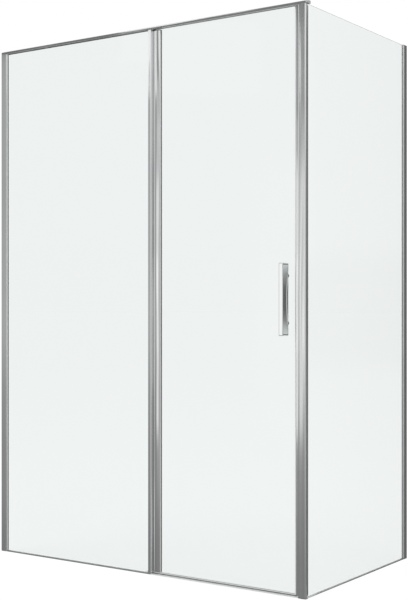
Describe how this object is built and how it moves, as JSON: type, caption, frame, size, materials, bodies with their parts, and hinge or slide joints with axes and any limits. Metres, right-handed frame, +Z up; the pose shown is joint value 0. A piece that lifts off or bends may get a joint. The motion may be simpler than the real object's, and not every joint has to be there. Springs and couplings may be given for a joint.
{
  "type": "shower enclosure with sliding door",
  "caption": "Corner shower enclosure: glass door sliding behind a fixed pane, fixed glass side panel, slim head rail, bright profiles and an upright grip.",
  "frame": {"origin": "middle of the footprint, grip included, on the floor", "axes": "+Z up, -Y towards a person in front of the door, -X towards the wall beside the fixed panel"},
  "size_m": [1.4, 0.8132, 2],
  "materials": {
    "bright": "bright polished, chrome effect",
    "chrome": "mirror polished",
    "steel": "plain stainless",
    "steel_block": "zinc plated",
    "glass": "clear toughened",
    "seal_rubber": "matte",
    "pile": "dense pile",
    "clear_plastic": "translucent",
    "bright_plastic": "metallised",
    "grey_plastic": "satin",
    "dark_plastic": "fine matte",
    "wheel_plastic": "smooth",
    "magnet": "matte"
  },
  "bodies": {
    "frame": {"front_wall_channel": "bright", "front_glass_profile": "bright", "front_adjusting_screws": "steel", "front_screw_caps": "grey_plastic", "fixed_glass": "glass", "fixed_glass_gaskets": "seal_rubber", "fixed_edge_profile": "bright", "overlap_brush_seal": "pile", "fixed_bottom_profile": "bright", "fixed_setting_blocks": "grey_plastic", "head_rail": "bright", "rail_glass_gaskets": "seal_rubber", "rail_infill_strip": "bright", "rail_wall_bracket": "bright_plastic", "rail_screws": "steel", "rail_end_cap": "bright_plastic", "rail_stops": "steel_block", "rail_buffers": "seal_rubber", "stop_set_screws": "steel", "corner_connector": "dark_plastic", "corner_post": "bright", "post_foot": "dark_plastic", "post_magnet_holder": "bright", "post_magnet": "magnet", "side_glass": "glass", "side_post_gaskets": "seal_rubber", "side_bottom_profile": "bright", "side_setting_blocks": "grey_plastic", "side_glass_profile": "bright", "side_wall_gaskets": "seal_rubber", "side_wall_channel": "bright", "side_adjusting_screws": "steel", "side_screw_caps": "grey_plastic", "side_channel_cap": "bright_plastic", "threshold": "bright", "bottom_guide": "clear_plastic"},
    "door": {"door_glass": "glass", "door_edge_profile": "bright", "door_profile_caps": "grey_plastic", "door_glass_gaskets": "seal_rubber", "door_bottom_seal": "clear_plastic", "door_magnet_seal": "clear_plastic", "door_magnet": "magnet", "door_top_clamp": "bright", "left_roller_carriage": "dark_plastic", "right_roller_carriage": "dark_plastic", "handle_grip": "chrome", "handle_screws": "chrome", "handle_sleeves": "clear_plastic"},
    "roller_1": {"roller_axle_1": "steel", "roller_wheels_1": "wheel_plastic"},
    "roller_2": {"roller_axle_2": "steel", "roller_wheels_2": "wheel_plastic"},
    "roller_3": {"roller_axle_3": "steel", "roller_wheels_3": "wheel_plastic"},
    "roller_4": {"roller_axle_4": "steel", "roller_wheels_4": "wheel_plastic"}
  },
  "joints": [
    {"name": "door_slide", "type": "slide", "parent": "frame", "child": "door", "axis": [-1, 0, 0], "range_m": [0, 0.51]},
    {"name": "roller_1_spin", "type": "hinge", "parent": "door", "child": "roller_1", "pos_m": [0.0915, -0.3649, 1.9949], "axis": [0, 1, 0], "range_deg": [-8860, 0]},
    {"name": "roller_2_spin", "type": "hinge", "parent": "door", "child": "roller_2", "pos_m": [0.1315, -0.3649, 1.9949], "axis": [0, 1, 0], "range_deg": [-8860, 0]},
    {"name": "roller_3_spin", "type": "hinge", "parent": "door", "child": "roller_3", "pos_m": [0.5625, -0.3649, 1.9949], "axis": [0, 1, 0], "range_deg": [-8860, 0]},
    {"name": "roller_4_spin", "type": "hinge", "parent": "door", "child": "roller_4", "pos_m": [0.6025, -0.3649, 1.9949], "axis": [0, 1, 0], "range_deg": [-8860, 0]}
  ],
  "couplings": [
    {"joint": "roller_1_spin", "follows": "door_slide", "rad_per_m": -303.03},
    {"joint": "roller_2_spin", "follows": "door_slide", "rad_per_m": -303.03},
    {"joint": "roller_3_spin", "follows": "door_slide", "rad_per_m": -303.03},
    {"joint": "roller_4_spin", "follows": "door_slide", "rad_per_m": -303.03}
  ]
}
